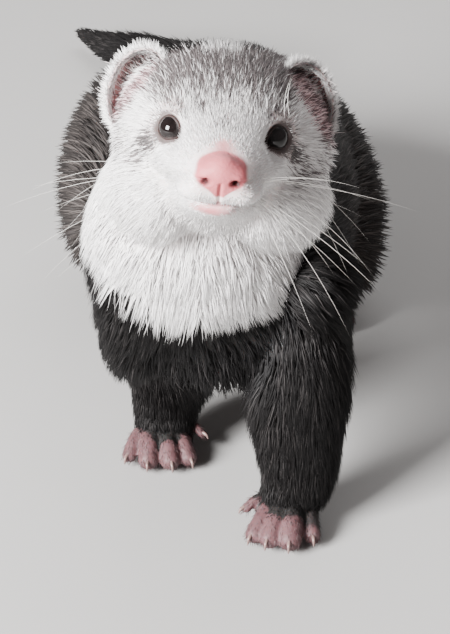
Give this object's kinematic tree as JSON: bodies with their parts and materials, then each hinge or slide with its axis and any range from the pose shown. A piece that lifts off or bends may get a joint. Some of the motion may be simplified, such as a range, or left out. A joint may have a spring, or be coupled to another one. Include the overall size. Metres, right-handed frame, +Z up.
{
  "type": "ferret",
  "caption": "Life-size ferret model sitting on its haunches, forelegs straight and head raised, tail in a curve behind.",
  "frame": {"origin": "middle of the underside of the box round the whole animal, on the floor it sits on", "axes": "+X to the animal's own left, -Y the way its nose points, +Y towards the tail, +Z up"},
  "size_m": [0.126, 0.4086, 0.1458],
  "materials": {
    "white_coat": "soft short and long white fur",
    "dark_coat": "soft black-brown guard hair",
    "body_coat": "black-brown guard hair over a pale undercoat",
    "ear": "pink skin with a white furred rim",
    "paw": "pink skin under short white fur, pale claws",
    "nose": "moist pink skin, satin",
    "eye": "near-black gloss"
  },
  "bodies": {
    "root": {"belly": "body_coat", "chest": "dark_coat", "ear_left": "ear", "ear_right": "ear", "eye_left": "eye", "eye_right": "eye", "foreleg_left": "dark_coat", "foreleg_right": "dark_coat", "forepaw_left": "paw", "forepaw_right": "paw", "head": "white_coat", "hindpaw_left": "paw", "hindpaw_right": "paw", "neck": "white_coat", "nose": "nose", "rump": "body_coat", "tail_base": "dark_coat", "tail_end": "dark_coat", "thigh_left": "dark_coat", "thigh_right": "dark_coat"}
  },
  "joints": []
}
